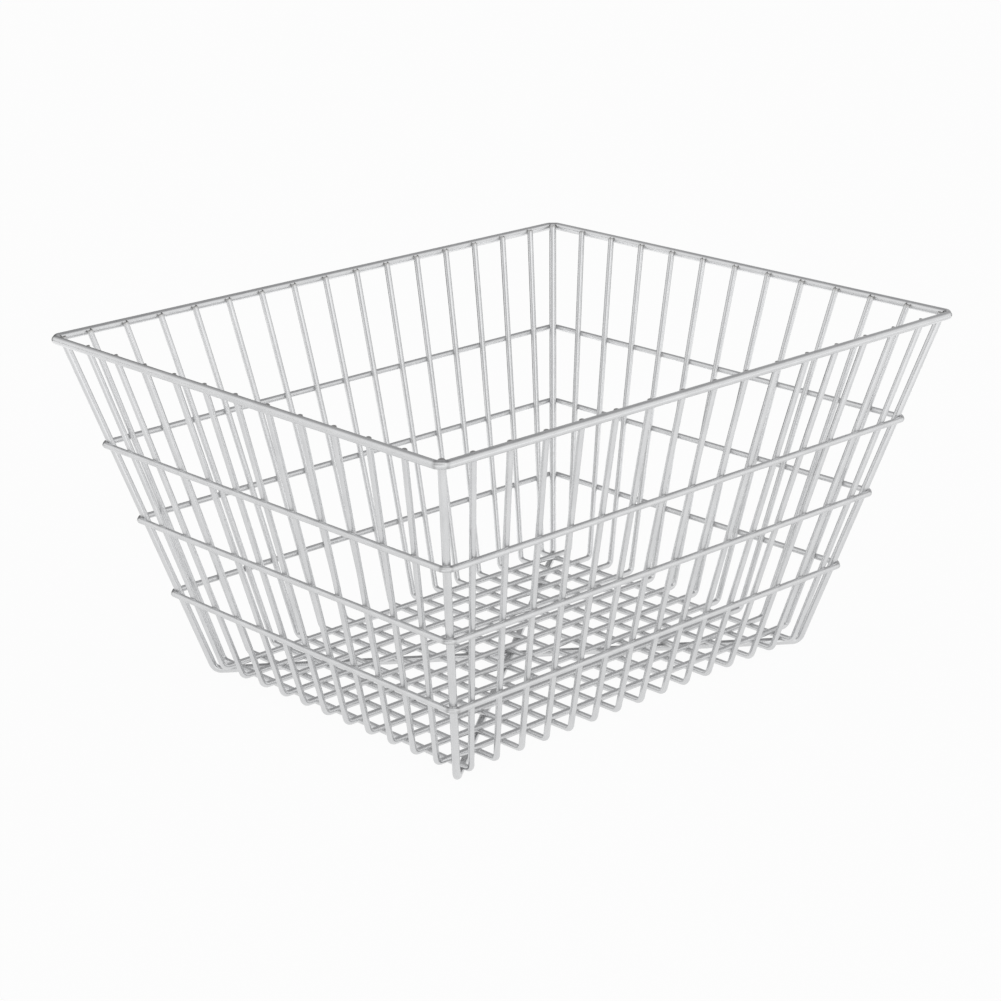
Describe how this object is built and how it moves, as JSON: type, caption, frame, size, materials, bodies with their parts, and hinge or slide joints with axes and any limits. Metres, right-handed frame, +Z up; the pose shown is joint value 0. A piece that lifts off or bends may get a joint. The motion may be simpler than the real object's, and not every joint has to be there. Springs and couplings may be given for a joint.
{
  "type": "wire locker basket",
  "caption": "Open, tapered rectangular basket of welded round wire, with a heavy rim, bands round its leaning walls and a square-mesh floor, for a locker rack or shelf.",
  "frame": {"origin": "on the surface that the basket stands on, under the middle of its floor", "axes": "+Z up, X along the basket's longer side, Y across it"},
  "size_m": [0.4086, 0.3414, 0.211],
  "materials": {
    "rim_steel": "satin zinc plate on drawn low-carbon steel wire",
    "band_steel": "satin zinc plate on drawn low-carbon steel wire",
    "mesh_steel": "satin zinc plate on drawn low-carbon steel wire",
    "diagonal_steel": "satin zinc plate on drawn low-carbon steel wire"
  },
  "bodies": {
    "root": {"rim_wire": "rim_steel", "upper_band_wire": "band_steel", "middle_band_wire": "band_steel", "lower_band_wire": "band_steel", "cross_wire_01": "mesh_steel", "cross_wire_02": "mesh_steel", "cross_wire_03": "mesh_steel", "cross_wire_04": "mesh_steel", "cross_wire_05": "mesh_steel", "cross_wire_06": "mesh_steel", "cross_wire_07": "mesh_steel", "cross_wire_08": "mesh_steel", "cross_wire_09": "mesh_steel", "cross_wire_10": "mesh_steel", "cross_wire_11": "mesh_steel", "cross_wire_12": "mesh_steel", "cross_wire_13": "mesh_steel", "cross_wire_14": "mesh_steel", "cross_wire_15": "mesh_steel", "long_wire_01": "mesh_steel", "long_wire_02": "mesh_steel", "long_wire_03": "mesh_steel", "long_wire_04": "mesh_steel", "long_wire_05": "mesh_steel", "long_wire_06": "mesh_steel", "long_wire_07": "mesh_steel", "long_wire_08": "mesh_steel", "long_wire_09": "mesh_steel", "long_wire_10": "mesh_steel", "long_wire_11": "mesh_steel", "diagonal_wire_upper": "diagonal_steel", "diagonal_wire_lower": "diagonal_steel"}
  },
  "joints": []
}
